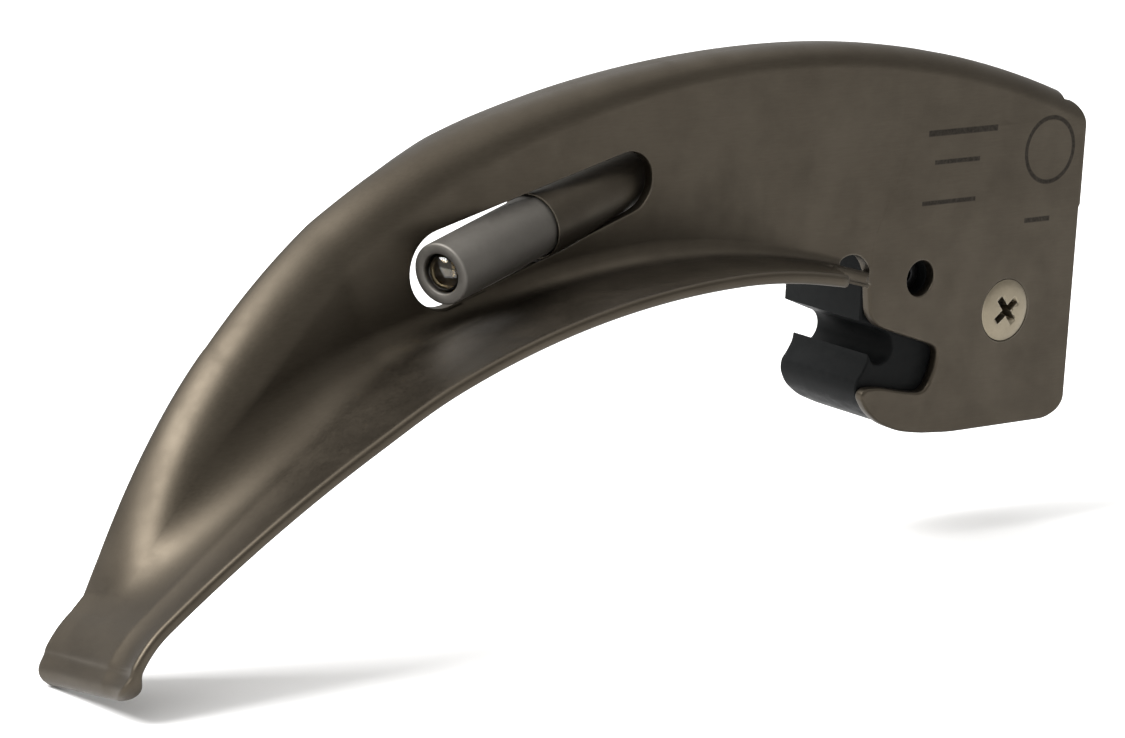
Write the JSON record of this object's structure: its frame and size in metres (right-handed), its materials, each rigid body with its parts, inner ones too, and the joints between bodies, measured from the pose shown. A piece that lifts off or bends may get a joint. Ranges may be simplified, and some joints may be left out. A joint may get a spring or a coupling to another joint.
{
  "type": "laryngoscope blade",
  "caption": "Curved hook-on laryngoscope blade: spatula, web and flange, heel block with pin hook, detent ball and contact, and a screw-in lamp in a socket tube through the web.",
  "frame": {"origin": "axis of the handle pin seat in the heel block, at the middle of the heel's width", "axes": "+X from the pin seat to the back of the heel, so the tip is at -X; -Y is the side with the spatula and the lamp; +Z points away from the handle"},
  "size_m": [0.1134, 0.0239, 0.0475],
  "materials": {
    "blade_steel": "satin brushed",
    "block_steel": "dark satin",
    "screw_nickel": "nickel plated",
    "bright_steel": "polished",
    "black_steel": "black oxide",
    "spring_steel": "drawn wire",
    "brass": "machined",
    "copper": "drawn wire",
    "nylon": "moulded",
    "wire_cover": "smooth",
    "lamp_metal": "satin",
    "lamp_glass": "clear",
    "tungsten": "drawn wire",
    "cement": "rough",
    "rubber": "smooth"
  },
  "bodies": {
    "blade_body": {"blade": "blade_steel", "heel_block": "block_steel", "plate_screw": "screw_nickel", "locating_pin": "bright_steel", "detent_spring": "spring_steel", "detent_plug": "black_steel", "contact_bush": "nylon", "heel_contact": "brass", "feed_wire": "copper", "wire_sleeve": "wire_cover", "conduit": "blade_steel", "socket_tube": "blade_steel", "thread_bush": "brass", "socket_insulator": "nylon", "socket_spring": "spring_steel"},
    "ball": {"detent_ball": "bright_steel"},
    "plunger": {"socket_plunger": "brass"},
    "lamp_ring": {"lamp_seal": "rubber"},
    "lamp": {"lamp_shell": "lamp_metal", "lamp_glass": "lamp_glass", "lamp_filament": "tungsten", "lamp_lead_left": "tungsten", "lamp_lead_right": "tungsten", "lamp_stem": "lamp_glass", "lamp_cement": "cement", "lamp_cap_ring": "black_steel", "lamp_centre_tip": "bright_steel"}
  },
  "joints": [
    {"name": "detent_press", "type": "slide", "parent": "blade_body", "child": "ball", "axis": [0, -1, 0], "range_m": [0, 0.0006], "stiffness_N_per_m": 2500, "springref_m": -0.0003, "deforming": ["detent_spring"]},
    {"name": "plunger_press", "type": "slide", "parent": "blade_body", "child": "plunger", "axis": [0.9458, 0.2676, 0.184], "range_m": [0, 0.0006], "stiffness_N_per_m": 1000, "springref_m": -0.0003, "deforming": ["socket_spring"]},
    {"name": "lamp_travel", "type": "slide", "parent": "blade_body", "child": "lamp_ring", "axis": [-0.9458, -0.2676, -0.184], "range_m": [0, 0.005]},
    {"name": "lamp_turn", "type": "hinge", "parent": "lamp_ring", "child": "lamp", "pos_m": [-0.0541, -0.0084, 0.01235], "axis": [-0.9458, -0.2676, -0.184], "range_deg": [0, 3650]}
  ],
  "couplings": [
    {"joint": "lamp_turn", "follows": "lamp_travel", "rad_per_m": 12566}
  ]
}
